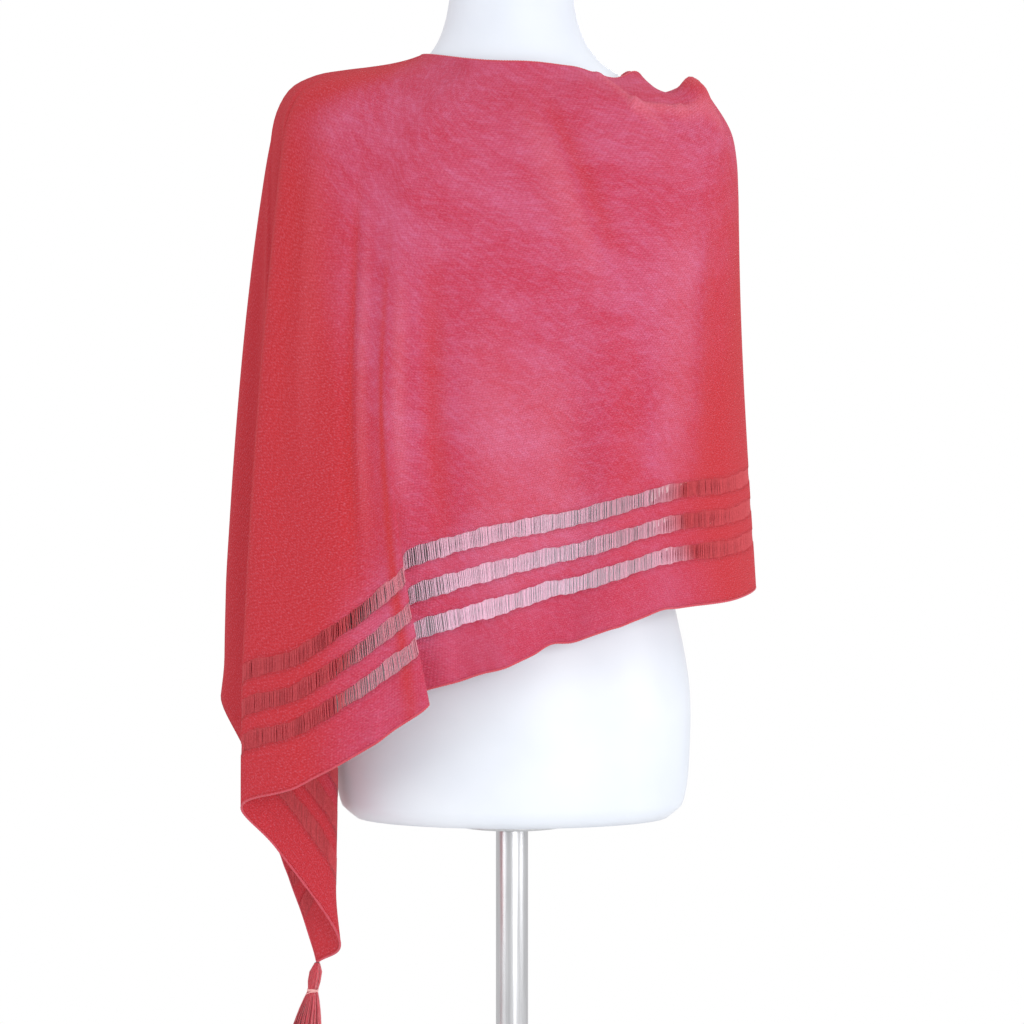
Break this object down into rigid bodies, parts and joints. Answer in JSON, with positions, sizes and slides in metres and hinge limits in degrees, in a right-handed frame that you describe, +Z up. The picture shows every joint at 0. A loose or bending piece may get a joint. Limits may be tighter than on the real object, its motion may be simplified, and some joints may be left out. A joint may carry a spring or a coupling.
{
  "type": "poncho on a dress form",
  "caption": "Fine knit poncho with one pointed tasselled corner and an openwork border, draped over a limbless dress form on a pole stand.",
  "frame": {"origin": "middle of the base plate's underside, where the stand rests on the floor", "axes": "+Z up, -Y out of the front of the poncho towards the viewer, +X towards the side with the shorter drop"},
  "size_m": [0.4707, 0.38, 1.53],
  "materials": {
    "red_knit": "heathered fine knit, matt, slightly sheer",
    "tassel_yarn": "loose matt yarn",
    "tie_thread": "matt thread",
    "form_shell": "smooth satin white",
    "stand_metal": "fine brushed"
  },
  "bodies": {
    "root": {"knit_panel": "red_knit", "tassel": "tassel_yarn", "tassel_tie": "tie_thread", "form_torso": "form_shell", "stand_flange": "stand_metal", "stand_pole": "stand_metal", "stand_base": "stand_metal"}
  },
  "joints": []
}
